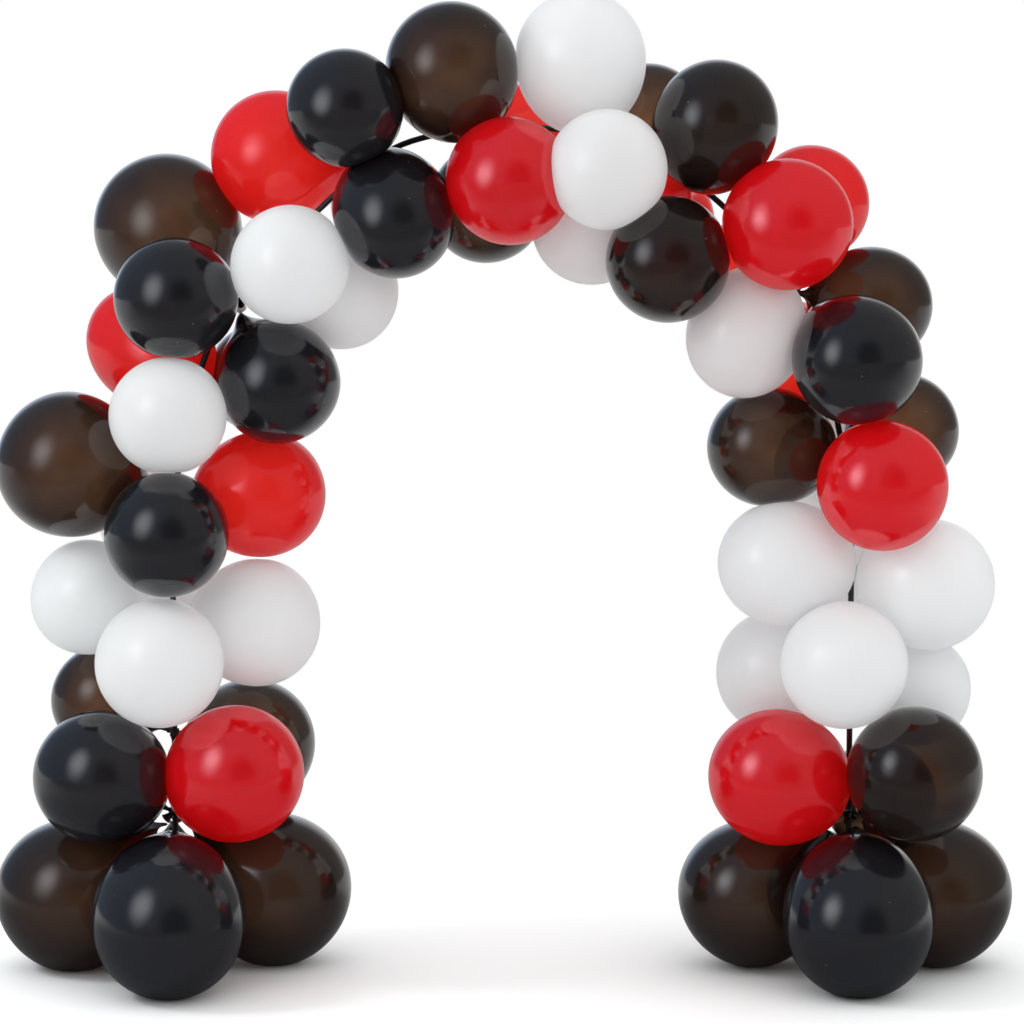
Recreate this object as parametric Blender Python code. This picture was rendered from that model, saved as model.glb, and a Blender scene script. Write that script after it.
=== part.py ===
"""Organic balloon arch on a bent pole.

Round latex balloons in black, red and white are tied in clusters along a slim pole that
stands on its two ends.  Each balloon is one solid: a turned, slightly egg-shaped body whose
narrow end points at the knot of its cluster.  Where two balloons press on each other both
are flat, and the lowest ones are flat where they rest.

Metres, +Z up.  The origin is on the floor, in the middle of the ground that the arch
covers; +X runs across the arch and -Y is its front.
"""
import math
from collections import namedtuple

import bmesh
import bpy
from mathutils import Vector

# Pole
POLE_RADIUS = 0.006
POLE_X = 0.0165              # the balloons reach further out on the left than on the right
POLE_Y = 0.049               # and further forward than back
HALF_SPAN = 0.684            # from the middle of the arch to the axis of a leg
LEG_HEIGHT = 0.80            # straight part of each leg
ARCH_RISE = 0.90             # from the top of the legs to the crown
ARCH_POWER = 2.2             # 2 is an ellipse; a little more gives squarer shoulders
SHOULDER_DIP = 0.040         # the left shoulder gives this much under its balloons
DIP_FROM = math.radians(35)
DIP_TO = math.radians(75)
LEG_STEPS = 2
ARCH_STEPS = 30
ROUTE_STEPS = 720            # fine steps for measuring along the arch

# Balloons
ROUND_SIDES = 11
BODY_RINGS = (30, 60, 90, 120)          # degrees from the crown
LAST_RING = 150              # where a short balloon's body ends; longer ones taper earlier
EGG = 0.05                   # how much fuller the crown half is than the neck half
NECK_RADIUS = 0.006
SHORTEST_TIP = 1.03          # from the middle to the neck's end, over the half length
SHARP_ANGLE = 40             # degrees at which the edge of a flat stays sharp
WELD = 0.00001               # points nearer than this are one
CUT_WELD = 0.00005           # the same along a fresh cut
GAP = 0.0003                 # between touching pieces
POLE_GAP = 0.002             # between a balloon and the pole
NECK_STOP = 0.020            # from a knot to the end of a balloon's neck
NEAR = 1.6                   # balloons closer than this share of their radii are pressed

MM = 0.001

COLOURS = {
    "black": (0.012, 0.011, 0.012, 1.0),
    "red": (0.62, 0.012, 0.018, 1.0),
    "white": (0.86, 0.86, 0.85, 1.0),
    "pole": (0.010, 0.010, 0.010, 1.0),
}

# One balloon of a cluster.  place names it; width is across the body and length from crown
# to neck; turn goes round the pole, from 0 at the front through 90 at the outside of the
# arch and 180 at the back; reach is from the pole's axis to the middle of the body, and
# lift is how far along the pole the body sits from its knot.  Millimetres and degrees.
Balloon = namedtuple("Balloon", "place colour width length turn reach lift")

# Clusters in order along the pole: number, distance of the knot from the foot of the left
# leg in millimetres, and the balloons that are tied there.
CLUSTERS = (
    (1, 330, (
        Balloon("front", "black", 306, 345, 358, 239, -172),
        Balloon("outer", "black", 310, 316, 86, 206, -179),
        Balloon("inner", "black", 314, 318, 261, 197, -177),
        Balloon("back", "black", 240, 248, 171, 171, -217),
    )),
    (2, 350, (
        Balloon("front_outer", "black", 266, 280, 45, 184, 62),
        Balloon("front_inner", "red", 272, 292, 316, 184, 69),
    )),
    (3, 480, (
        Balloon("back_outer", "black", 224, 230, 117, 160, 55),
        Balloon("back_inner", "black", 267, 272, 228, 189, -44),
    )),
    (4, 690, (
        Balloon("front", "white", 254, 265, 4, 163, -40),
        Balloon("outer", "white", 231, 235, 84, 167, 68),
        Balloon("inner", "white", 258, 267, 269, 163, 15),
        Balloon("back", "white", 220, 228, 172, 145, 12),
    )),
    (5, 940, (
        Balloon("front", "black", 245, 261, 359, 166, -34),
        Balloon("outer", "black", 290, 299, 81, 213, 61),
        Balloon("inner", "red", 254, 272, 264, 165, 42),
        Balloon("back", "white", 226, 234, 160, 148, -45),
    )),
    (6, 1190, (
        Balloon("front", "white", 231, 236, 11, 143, -56),
        Balloon("outer", "red", 240, 313, 133, 153, 32),
        Balloon("back_inner", "black", 226, 234, 217, 189, 43),
    )),
    (7, 1375, (
        Balloon("low_inner", "black", 245, 250, 294, 169, -111),
        Balloon("front_outer", "black", 240, 250, 37, 147, -33),
        Balloon("outer", "black", 296, 314, 124, 222, 35),
        Balloon("front_inner", "white", 231, 240, 343, 154, 149),
        Balloon("inner", "white", 237, 242, 252, 153, 177),
    )),
    (8, 1774, (
        Balloon("outer", "red", 267, 274, 126, 165, -135),
        Balloon("front_outer", "black", 228, 236, 38, 181, 18),
        Balloon("front_inner", "black", 238, 283, 318, 153, -27),
        Balloon("back_inner", "white", 222, 230, 208, 167, -42),
    )),
    (9, 1972, (
        Balloon("outer", "black", 260, 288, 51, 144, -9),
        Balloon("front", "red", 247, 258, 327, 186, 85),
        Balloon("inner", "black", 232, 238, 249, 162, 29),
        Balloon("back", "red", 208, 216, 185, 192, 112),
    )),
    (10, 2212, (
        Balloon("outer", "white", 258, 288, 64, 148, -33),
        Balloon("front", "white", 233, 236, 345, 209, 54),
        Balloon("inner", "white", 241, 250, 271, 165, 68),
        Balloon("back", "black", 232, 240, 153, 134, 106),
    )),
    (11, 2450, (
        Balloon("front_outer", "black", 246, 281, 47, 146, -30),
        Balloon("front_inner", "black", 242, 254, 318, 223, 50),
        Balloon("back", "red", 216, 224, 212, 187, 2),
    )),
    (12, 2674, (
        Balloon("front", "red", 255, 259, 20, 179, -51),
        Balloon("outer", "red", 233, 244, 112, 140, -40),
        Balloon("inner", "white", 237, 273, 308, 144, 91),
        Balloon("back", "red", 222, 230, 206, 149, -5),
    )),
    (13, 2742, (
        Balloon("front", "black", 252, 262, 17, 190, 155),
        Balloon("outer", "black", 232, 254, 102, 137, 90),
        Balloon("back", "red", 228, 236, 195, 156, 139),
    )),
    (14, 3086, (
        Balloon("inner", "black", 239, 262, 285, 145, -44),
        Balloon("outer", "black", 225, 230, 100, 126, -21),
        Balloon("front", "red", 256, 264, 16, 186, 52),
        Balloon("back", "white", 220, 228, 188, 159, 39),
    )),
    (15, 3316, (
        Balloon("front_inner", "white", 250, 290, 303, 160, -19),
        Balloon("front_outer", "white", 262, 280, 58, 162, 24),
        Balloon("back", "white", 232, 240, 174, 152, 19),
    )),
    (16, 3536, (
        Balloon("front", "white", 251, 260, 351, 189, -47),
        Balloon("back_inner", "white", 254, 260, 239, 158, 9),
        Balloon("outer", "white", 226, 231, 85, 127, 29),
        Balloon("back", "white", 232, 240, 163, 190, 7),
    )),
    (17, 3791, (
        Balloon("front_inner", "red", 270, 302, 308, 186, -63),
        Balloon("front_outer", "black", 265, 276, 28, 227, -86),
        Balloon("back_inner", "black", 236, 244, 218, 167, -10),
        Balloon("back_outer", "black", 236, 244, 156, 195, 32),
    )),
    (18, 3806, (
        Balloon("inner", "black", 300, 305, 271, 192, 178),
        Balloon("front", "black", 299, 346, 0, 219, 175),
        Balloon("outer", "black", 300, 307, 92, 180, 181),
        Balloon("back", "black", 240, 248, 189, 190, 214),
    )),
)

# Hidden neighbours at the back that are glued into one piece: (cluster, place) of each.
GLUED = (
    ((11, "back"), (12, "back"), (13, "back")),
    ((14, "back"), (15, "back"), (16, "back")),
    ((17, "back_outer"), (17, "back_inner"), (18, "back")),
)


def clear_scene():
    """Remove whatever the scene holds."""
    for item in list(bpy.data.objects):
        bpy.data.objects.remove(item, do_unlink=True)


def make_collection(name):
    """Return a new collection linked to the scene."""
    group = bpy.data.collections.new(name)
    bpy.context.scene.collection.children.link(group)
    return group


def make_material(name, colour, roughness):
    """Return a Principled BSDF material of one colour."""
    material = bpy.data.materials.new(name)
    material.use_nodes = True
    shader = material.node_tree.nodes["Principled BSDF"]
    shader.inputs["Base Color"].default_value = colour
    shader.inputs["Roughness"].default_value = roughness
    shader.inputs["Metallic"].default_value = 0.0
    return material


def arch_point(angle):
    """Return the point of the arch at an angle, 0 at the left leg and pi at the right."""
    side = -math.cos(angle)
    x = POLE_X + HALF_SPAN * math.copysign(abs(side) ** (2 / ARCH_POWER), side)
    z = LEG_HEIGHT + ARCH_RISE * math.sin(angle) ** (2 / ARCH_POWER)
    if DIP_FROM < angle < DIP_TO:
        z -= SHOULDER_DIP * math.sin(math.pi * (angle - DIP_FROM) / (DIP_TO - DIP_FROM)) ** 2
    return Vector((x, POLE_Y, z))


def pole_route(leg_steps, arch_steps):
    """Return points along the pole's axis, from the left foot over the crown to the right."""
    left = [Vector((POLE_X - HALF_SPAN, POLE_Y, LEG_HEIGHT * i / leg_steps))
            for i in range(leg_steps)]
    arch = [arch_point(math.pi * i / arch_steps) for i in range(arch_steps)]
    right = [Vector((POLE_X + HALF_SPAN, POLE_Y, LEG_HEIGHT * (1 - i / leg_steps)))
             for i in range(leg_steps + 1)]
    return left + arch + right


def pole_station(route, distance):
    """Return the point and the direction of a route at a distance along it."""
    for start, end in zip(route, route[1:]):
        step = end - start
        if distance <= step.length:
            break
        distance -= step.length
    direction = step.normalized()
    return start + direction * distance, direction


def nearest_on_route(route, point):
    """Return the point of a route that is nearest to a given point."""
    best = route[0]
    for start, end in zip(route, route[1:]):
        step = end - start
        share = max(0.0, min(1.0, (point - start).dot(step) / step.length_squared))
        candidate = start + step * share
        if (candidate - point).length < (best - point).length:
            best = candidate
    return best


class Body:
    """Where a balloon sits: its middle, its axis from neck to crown, and its half sizes."""

    def __init__(self, cluster, knot_distance, balloon, route):
        self.cluster = cluster
        self.place = balloon.place
        self.colour = balloon.colour
        self.half_width = balloon.width * MM / 2
        self.half_length = balloon.length * MM / 2
        knot, _ = pole_station(route, knot_distance * MM)
        foot, along = pole_station(route, (knot_distance + balloon.lift) * MM)
        outward = Vector((-along.z, 0.0, along.x))
        front = Vector((0.0, -1.0, 0.0))
        turn = math.radians(balloon.turn)
        self.centre = foot + (front * math.cos(turn) + outward * math.sin(turn)) * balloon.reach * MM
        self.axis = (self.centre - knot).normalized()
        self.neck = (self.centre - knot).length - NECK_STOP
        self.planes = [(knot + self.axis * NECK_STOP, -self.axis)]

    def radius_towards(self, direction):
        """Return how far the body reaches from its middle in a direction."""
        along = direction.dot(self.axis)
        across = math.sqrt(max(0.0, 1.0 - along * along))
        return 1.0 / math.hypot(across / self.half_width, along / self.half_length)


def press(first, second):
    """Flatten two neighbours against the plane in which their bodies meet."""
    line = second.centre - first.centre
    distance = line.length
    if distance > NEAR * (first.half_length + second.half_length):
        return
    direction = line / distance
    near = first.radius_towards(direction)
    far = second.radius_towards(-direction)
    meeting = (distance + (near * near - far * far) / distance) / 2
    first.planes.append((first.centre + direction * (meeting - GAP / 2), direction))
    second.planes.append((first.centre + direction * (meeting + GAP / 2), -direction))


def press_on_pole(body, route):
    """Keep a balloon off the pole."""
    line = nearest_on_route(route, body.centre) - body.centre
    direction = line.normalized()
    room = line.length - POLE_RADIUS - POLE_GAP
    body.planes.append((body.centre + direction * room, direction))


def press_on_floor(body):
    """Flatten a balloon where it rests."""
    body.planes.append((Vector((0.0, 0.0, 0.0)), Vector((0.0, 0.0, -1.0))))


def profile(body):
    """Return the turned outline, as radius and height, from below the crown to the neck."""
    tip = max(body.neck, SHORTEST_TIP * body.half_length)
    # From here a straight line to the neck just touches the body, which makes it a pear.
    taper = 180 - math.degrees(math.acos(body.half_length / tip))
    outline = []
    for degrees in (*BODY_RINGS, min(taper, LAST_RING)):
        angle = math.radians(degrees)
        fullness = 1 + EGG * math.cos(angle)
        outline.append((body.half_width * math.sin(angle) * fullness,
                        body.half_length * math.cos(angle)))
    outline.append((NECK_RADIUS, -tip))
    return outline


def turned_mesh(body):
    """Return a bmesh of the balloon, turned round its own axis and put in its place."""
    shape = bmesh.new()
    crown = shape.verts.new((0.0, 0.0, body.half_length))
    chain = [crown] + [shape.verts.new((radius, 0.0, height)) for radius, height in profile(body)]
    edges = [shape.edges.new(pair) for pair in zip(chain, chain[1:])]
    bmesh.ops.spin(shape, geom=chain + edges, axis=(0.0, 0.0, 1.0), cent=(0.0, 0.0, 0.0),
                   angle=2 * math.pi, steps=ROUND_SIDES, use_merge=True)
    bmesh.ops.remove_doubles(shape, verts=shape.verts, dist=WELD)
    close_holes(shape)
    turn = Vector((0.0, 0.0, 1.0)).rotation_difference(body.axis).to_matrix()
    bmesh.ops.rotate(shape, verts=shape.verts, matrix=turn, cent=(0.0, 0.0, 0.0))
    bmesh.ops.translate(shape, verts=shape.verts, vec=body.centre)
    return shape


def close_holes(shape):
    """Fill every open rim and turn the faces outwards."""
    rims = [edge for edge in shape.edges if edge.is_boundary]
    if rims:
        bmesh.ops.holes_fill(shape, edges=rims, sides=0)
    bmesh.ops.recalc_face_normals(shape, faces=shape.faces)


def cut_flat(shape, point, normal):
    """Cut a closed convex shape off at a plane and close it flat."""
    if all((vert.co - point).dot(normal) <= 0 for vert in shape.verts):
        return
    bmesh.ops.bisect_plane(shape, geom=shape.verts[:] + shape.edges[:] + shape.faces[:],
                           dist=WELD / 10, plane_co=point, plane_no=normal, clear_outer=True)
    bmesh.ops.remove_doubles(shape, verts=shape.verts, dist=CUT_WELD)
    close_holes(shape)


def balloon_object(body, name, material, group):
    """Make one balloon, flat where its planes say, and return its object."""
    shape = turned_mesh(body)
    for point, normal in body.planes:
        cut_flat(shape, point, normal)
    mesh = bpy.data.meshes.new(name)
    shape.to_mesh(mesh)
    shape.free()
    mesh.materials.append(material)
    mesh.shade_smooth()
    mesh.set_sharp_from_angle(angle=math.radians(SHARP_ANGLE))
    item = bpy.data.objects.new(name, mesh)
    group.objects.link(item)
    return item


def pole_object(material, group):
    """Make the bent pole as one round bar from floor to floor."""
    curve = bpy.data.curves.new("pole", "CURVE")
    curve.dimensions = "3D"
    curve.bevel_depth = POLE_RADIUS
    curve.bevel_resolution = 2
    curve.use_fill_caps = True
    route = pole_route(LEG_STEPS, ARCH_STEPS)
    spline = curve.splines.new("POLY")
    spline.points.add(len(route) - 1)
    for spot, point in zip(spline.points, route):
        spot.co = (*point, 1.0)
    curve.materials.append(material)
    item = bpy.data.objects.new("pole", curve)
    group.objects.link(item)
    return item


def join_glued(items, cutters):
    """Join touching balloons into the first of them with a union, and return it."""
    first = items[0]
    for other in items[1:]:
        union = first.modifiers.new("join " + other.name, "BOOLEAN")
        union.operation = "UNION"
        union.solver = "EXACT"
        union.object = other
        other.users_collection[0].objects.unlink(other)
        cutters.objects.link(other)
        other.hide_render = True
        other.display_type = "WIRE"
    return first


def main():
    clear_scene()
    parts = make_collection("organic balloon arch")
    cutters = make_collection("glued balloons")
    finishes = {name: make_material(name + (" latex" if name != "pole" else " finish"), colour,
                                    0.30 if name == "pole" else 0.12)
                for name, colour in COLOURS.items()}
    route = pole_route(LEG_STEPS, ROUTE_STEPS)
    bodies = [Body(number, knot, balloon, route)
              for number, knot, balloons in CLUSTERS for balloon in balloons]
    glued = {key: chain for chain in GLUED for key in chain}
    for i, first in enumerate(bodies):
        for second in bodies[i + 1:]:
            chain = glued.get((first.cluster, first.place), ())
            if (second.cluster, second.place) not in chain:
                press(first, second)
        press_on_pole(first, route)
        if first.cluster in (CLUSTERS[0][0], CLUSTERS[-1][0]):
            press_on_floor(first)
    items = {}
    for body in bodies:
        name = "balloon_{:02d}_{}".format(body.cluster, body.place)
        items[(body.cluster, body.place)] = balloon_object(body, name, finishes[body.colour], parts)
    for chain in GLUED:
        join_glued([items[key] for key in chain], cutters)
    pole_object(finishes["pole"], parts)


main()
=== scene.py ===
"""Looks of an organic balloon arch: round latex balloons tied in clusters along a bent pole.

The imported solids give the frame.  Each balloon is made again here as a smooth turned
envelope with its neck, knot and rolled lip, on the same cluster table as its solid.
"""
import math
from collections import namedtuple

import bmesh
import bpy
from mathutils import Matrix, Vector


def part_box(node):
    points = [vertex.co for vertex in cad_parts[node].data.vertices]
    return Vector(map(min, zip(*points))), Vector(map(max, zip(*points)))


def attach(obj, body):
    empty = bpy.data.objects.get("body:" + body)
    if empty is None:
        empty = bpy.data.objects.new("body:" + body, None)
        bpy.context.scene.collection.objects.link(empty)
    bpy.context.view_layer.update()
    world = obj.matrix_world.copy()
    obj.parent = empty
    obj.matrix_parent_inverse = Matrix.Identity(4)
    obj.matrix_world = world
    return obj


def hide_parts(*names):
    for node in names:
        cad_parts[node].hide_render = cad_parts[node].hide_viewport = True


bl_info = {
    "name": "Organic balloon arch",
    "version": (1, 0, 0),
    "blender": (4, 5, 0),
    "location": "3D View > Sidebar > Balloon arch",
    "description": "Latex balloons in clusters along a bent pole, with a studio stage",
    "category": "Add Mesh",
}

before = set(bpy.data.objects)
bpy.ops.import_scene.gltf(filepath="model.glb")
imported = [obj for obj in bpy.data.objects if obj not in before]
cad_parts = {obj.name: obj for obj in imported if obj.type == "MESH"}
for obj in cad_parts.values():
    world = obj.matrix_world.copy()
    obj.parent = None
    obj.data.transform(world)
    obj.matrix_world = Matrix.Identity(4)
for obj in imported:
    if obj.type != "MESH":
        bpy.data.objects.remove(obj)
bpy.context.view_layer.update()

MM = 0.001
UP = Vector((0.0, 0.0, 1.0))

# The pole, from its own solid.
POLE_LOW, POLE_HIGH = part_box("pole")
POLE_RADIUS = (POLE_HIGH.y - POLE_LOW.y) / 2
POLE_X = (POLE_LOW.x + POLE_HIGH.x) / 2
POLE_Y = (POLE_LOW.y + POLE_HIGH.y) / 2
HALF_SPAN = (POLE_HIGH.x - POLE_LOW.x) / 2 - POLE_RADIUS
ARCH_RISE = 0.90
ARCH_POWER = 2.2
SHOULDER_DIP = 0.040         # the left shoulder gives this much under its balloons
DIP_FROM = math.radians(35)
DIP_TO = math.radians(75)
LEG_HEIGHT = POLE_HIGH.z - POLE_RADIUS - ARCH_RISE
LEG_STEPS = 2                # of the route along which the knots are measured
ROUTE_STEPS = 720
BAR_LEG_STEPS = 8            # of the bar that is seen
BAR_ARCH_STEPS = 120

# How the solids of the balloons were shaped.
EGG = 0.05                   # how much fuller the crown is than the neck end
LAST_RING = 156              # degrees from the crown at which the neck starts at the latest
GAP = 0.0003                 # between two balloons that press on each other
POLE_GAP = 0.002             # between a balloon and the pole
NEAR = 1.6                   # the reach of pressing, in sums of the two half lengths
BOX_SLACK = 0.014            # a smooth balloon and its faceted solid agree within this

# How far a balloon's wall is stretched is set by where it hangs, as painted backlight: the ones in
# front let less light through and look shaded, the ones at the back glow brown.
STRETCH_FOR_BACKLIGHT = {"front": 0.22, "low": 0.22, "back": 1.6}
SIDE_STRETCH_FOR_BACKLIGHT = 1.15
FOOT_STRETCH_FOR_BACKLIGHT = 0.76          # the big ones at both feet, which hold the arch down
FOOT_CLUSTERS = (1, 18)
SMOKY_BACKLIGHT = 0.4                  # past this stretch black latex looks brown: painted backlight
# These let more or less light through than the others in their places: painted backlight.
ODD_STRETCH_FOR_BACKLIGHT = {(3, "back_outer"): 1.3, (3, "back_inner"): 1.3, (7, "outer"): 1.25,
               (11, "front_outer"): 0.45, (11, "front_inner"): 0.60, (14, "outer"): 1.5,
               (17, "front_outer"): 0.95}
# The wall along a balloon, in shares of its half length: it is thicker in a small spot at
# the crown, and thickens from the round of the body to the neck.
CROWN_SPOT = 0.96
CROWN_LOSS = 0.45
NECK_START = 0.80
NECK_FADE = 0.30

# Necks, knots and loose ends.
KNOT_CLEAR = 1.03            # the least distance of a knot, in half lengths of the body
NECK_CLEAR = 1.01            # the same for the start of the neck
KNOT_SQUAT = 0.75            # height of a knot to its width
FLARE = 1.8                  # the loose end opens slowly first and then quickly
BORE = 0.75                  # its inside to its outside
TAIL_ROOT = 0.002            # how deep its root is in the knot
BORE_STEP = 0.0008           # how much the bore is set towards the mouth
BORE_END = 0.003             # where the bore ends in front of the knot
TAIL_START = 0.9             # turn of the first loose end, in radians
TAIL_TURN = 2.4              # and from one to the next
TAIL_LEAN = 0.35             # how far each leans towards its balloon

# Steps round the small pieces, and round the pole for one turn of a tie.
KNOT_SIDES = 16
TAIL_SIDES = 20
POLE_SIDES = 20
TIE_SIDES = 8
TIE_STEPS = 20

# One balloon of a cluster, in millimetres and degrees: width across the body, length from
# crown to neck, turn round the pole (0 front, 90 outside, 180 back), reach from the pole's
# axis to the middle of the body, and lift along the pole from the knot.
Balloon = namedtuple("Balloon", "place colour width length turn reach lift")

# Clusters in order along the pole: number, distance of the knot from the foot of the left
# leg in millimetres, and the balloons that are tied there.
CLUSTERS = (
    (1, 330, (
        Balloon("front", "black", 306, 345, 358, 239, -172),
        Balloon("outer", "black", 310, 316, 86, 206, -179),
        Balloon("inner", "black", 314, 318, 261, 197, -177),
        Balloon("back", "black", 240, 248, 171, 171, -217),
    )),
    (2, 350, (
        Balloon("front_outer", "black", 266, 280, 45, 184, 62),
        Balloon("front_inner", "red", 272, 292, 316, 184, 69),
    )),
    (3, 480, (
        Balloon("back_outer", "black", 224, 230, 117, 160, 55),
        Balloon("back_inner", "black", 267, 272, 228, 189, -44),
    )),
    (4, 690, (
        Balloon("front", "white", 254, 265, 4, 163, -40),
        Balloon("outer", "white", 231, 235, 84, 167, 68),
        Balloon("inner", "white", 258, 267, 269, 163, 15),
        Balloon("back", "white", 220, 228, 172, 145, 12),
    )),
    (5, 940, (
        Balloon("front", "black", 245, 261, 359, 166, -34),
        Balloon("outer", "black", 290, 299, 81, 213, 61),
        Balloon("inner", "red", 254, 272, 264, 165, 42),
        Balloon("back", "white", 226, 234, 160, 148, -45),
    )),
    (6, 1190, (
        Balloon("front", "white", 231, 236, 11, 143, -56),
        Balloon("outer", "red", 240, 313, 133, 153, 32),
        Balloon("back_inner", "black", 226, 234, 217, 189, 43),
    )),
    (7, 1375, (
        Balloon("low_inner", "black", 245, 250, 294, 169, -111),
        Balloon("front_outer", "black", 240, 250, 37, 147, -33),
        Balloon("outer", "black", 296, 314, 124, 222, 35),
        Balloon("front_inner", "white", 231, 240, 343, 154, 149),
        Balloon("inner", "white", 237, 242, 252, 153, 177),
    )),
    (8, 1774, (
        Balloon("outer", "red", 267, 274, 126, 165, -135),
        Balloon("front_outer", "black", 228, 236, 38, 181, 18),
        Balloon("front_inner", "black", 238, 283, 318, 153, -27),
        Balloon("back_inner", "white", 222, 230, 208, 167, -42),
    )),
    (9, 1972, (
        Balloon("outer", "black", 260, 288, 51, 144, -9),
        Balloon("front", "red", 247, 258, 327, 186, 85),
        Balloon("inner", "black", 232, 238, 249, 162, 29),
        Balloon("back", "red", 208, 216, 185, 192, 112),
    )),
    (10, 2212, (
        Balloon("outer", "white", 258, 288, 64, 148, -33),
        Balloon("front", "white", 233, 236, 345, 209, 54),
        Balloon("inner", "white", 241, 250, 271, 165, 68),
        Balloon("back", "black", 232, 240, 153, 134, 106),
    )),
    (11, 2450, (
        Balloon("front_outer", "black", 246, 281, 47, 146, -30),
        Balloon("front_inner", "black", 242, 254, 318, 223, 50),
        Balloon("back", "red", 216, 224, 212, 187, 2),
    )),
    (12, 2674, (
        Balloon("front", "red", 255, 259, 20, 179, -51),
        Balloon("outer", "red", 233, 244, 112, 140, -40),
        Balloon("inner", "white", 237, 273, 308, 144, 91),
        Balloon("back", "red", 222, 230, 206, 149, -5),
    )),
    (13, 2742, (
        Balloon("front", "black", 252, 262, 17, 190, 155),
        Balloon("outer", "black", 232, 254, 102, 137, 90),
        Balloon("back", "red", 228, 236, 195, 156, 139),
    )),
    (14, 3086, (
        Balloon("inner", "black", 239, 262, 285, 145, -44),
        Balloon("outer", "black", 225, 230, 100, 126, -21),
        Balloon("front", "red", 256, 264, 16, 186, 52),
        Balloon("back", "white", 220, 228, 188, 159, 39),
    )),
    (15, 3316, (
        Balloon("front_inner", "white", 250, 290, 303, 160, -19),
        Balloon("front_outer", "white", 262, 280, 58, 162, 24),
        Balloon("back", "white", 232, 240, 174, 152, 19),
    )),
    (16, 3536, (
        Balloon("front", "white", 251, 260, 351, 189, -47),
        Balloon("back_inner", "white", 254, 260, 239, 158, 9),
        Balloon("outer", "white", 226, 231, 85, 127, 29),
        Balloon("back", "white", 232, 240, 163, 190, 7),
    )),
    (17, 3791, (
        Balloon("front_inner", "red", 270, 302, 308, 186, -63),
        Balloon("front_outer", "black", 265, 276, 28, 227, -86),
        Balloon("back_inner", "black", 236, 244, 218, 167, -10),
        Balloon("back_outer", "black", 236, 244, 156, 195, 32),
    )),
    (18, 3806, (
        Balloon("inner", "black", 300, 305, 271, 192, 178),
        Balloon("front", "black", 299, 346, 0, 219, 175),
        Balloon("outer", "black", 300, 307, 92, 180, 181),
        Balloon("back", "black", 240, 248, 189, 190, 214),
    )),
)

# Hidden neighbours at the back that are glued into one piece: (cluster, place) of each.
GLUED = (
    ((11, "back"), (12, "back"), (13, "back")),
    ((14, "back"), (15, "back"), (16, "back")),
    ((17, "back_outer"), (17, "back_inner"), (18, "back")),
)


def linear(code):
    """Return the linear colour of an sRGB hex code."""
    channels = [int(code[i:i + 2], 16) / 255 for i in (0, 2, 4)]
    return tuple(c / 12.92 if c <= 0.04045 else ((c + 0.055) / 1.055) ** 2.4 for c in channels)


# ----------------------------------------------------------
# Where things sit

def arch_point(angle):
    """Return the point of the arch at an angle, 0 at the left leg and pi at the right."""
    side = -math.cos(angle)
    x = POLE_X + HALF_SPAN * math.copysign(abs(side) ** (2 / ARCH_POWER), side)
    z = LEG_HEIGHT + ARCH_RISE * math.sin(angle) ** (2 / ARCH_POWER)
    if DIP_FROM < angle < DIP_TO:
        z -= SHOULDER_DIP * math.sin(math.pi * (angle - DIP_FROM) / (DIP_TO - DIP_FROM)) ** 2
    return Vector((x, POLE_Y, z))


def pole_route(leg_steps, arch_steps):
    """Return points along the pole's axis, from the left foot over the crown to the right."""
    left = [Vector((POLE_X - HALF_SPAN, POLE_Y, LEG_HEIGHT * i / leg_steps))
            for i in range(leg_steps)]
    arch = [arch_point(math.pi * i / arch_steps) for i in range(arch_steps)]
    right = [Vector((POLE_X + HALF_SPAN, POLE_Y, LEG_HEIGHT * (1 - i / leg_steps)))
             for i in range(leg_steps + 1)]
    return left + arch + right


def pole_station(route, distance):
    """Return the point and the direction of a route at a distance along it."""
    for start, end in zip(route, route[1:]):
        step = end - start
        if distance <= step.length:
            break
        distance -= step.length
    direction = step.normalized()
    return start + direction * distance, direction


def nearest_on_route(route, point):
    """Return the point of a route that is nearest to a given point."""
    best = route[0]
    for start, end in zip(route, route[1:]):
        step = end - start
        share = max(0.0, min(1.0, (point - start).dot(step) / step.length_squared))
        candidate = start + step * share
        if (candidate - point).length < (best - point).length:
            best = candidate
    return best


class Body:
    """Where a balloon sits: its middle, its axis from neck to crown, and its half sizes."""

    def __init__(self, cluster, knot_distance, balloon, route):
        self.cluster = cluster
        self.place = balloon.place
        self.colour = balloon.colour
        self.half_width = balloon.width * MM / 2
        self.half_length = balloon.length * MM / 2
        self.knot, self.along = pole_station(route, knot_distance * MM)
        foot, along = pole_station(route, (knot_distance + balloon.lift) * MM)
        outward = Vector((-along.z, 0.0, along.x))
        front = Vector((0.0, -1.0, 0.0))
        turn = math.radians(balloon.turn)
        reach = (front * math.cos(turn) + outward * math.sin(turn)) * balloon.reach * MM
        self.centre = foot + reach
        self.axis = (self.centre - self.knot).normalized()
        self.planes = []

    def name(self):
        """Return the name that the balloon and its own solid share."""
        return "balloon_{:02d}_{}".format(self.cluster, self.place)

    def radius_towards(self, direction):
        """Return how far the body reaches from its middle in a direction."""
        along = direction.dot(self.axis)
        across = math.sqrt(max(0.0, 1.0 - along * along))
        return 1.0 / math.hypot(across / self.half_width, along / self.half_length)


def press(first, second):
    """Let two neighbours flatten against the plane in which their bodies meet."""
    line = second.centre - first.centre
    distance = line.length
    if distance > NEAR * (first.half_length + second.half_length):
        return
    direction = line / distance
    near = first.radius_towards(direction)
    far = second.radius_towards(-direction)
    meeting = (distance + (near * near - far * far) / distance) / 2
    first.planes.append((direction, direction.dot(first.centre) + meeting - GAP / 2))
    second.planes.append((-direction, -direction.dot(first.centre) - meeting - GAP / 2))


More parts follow.
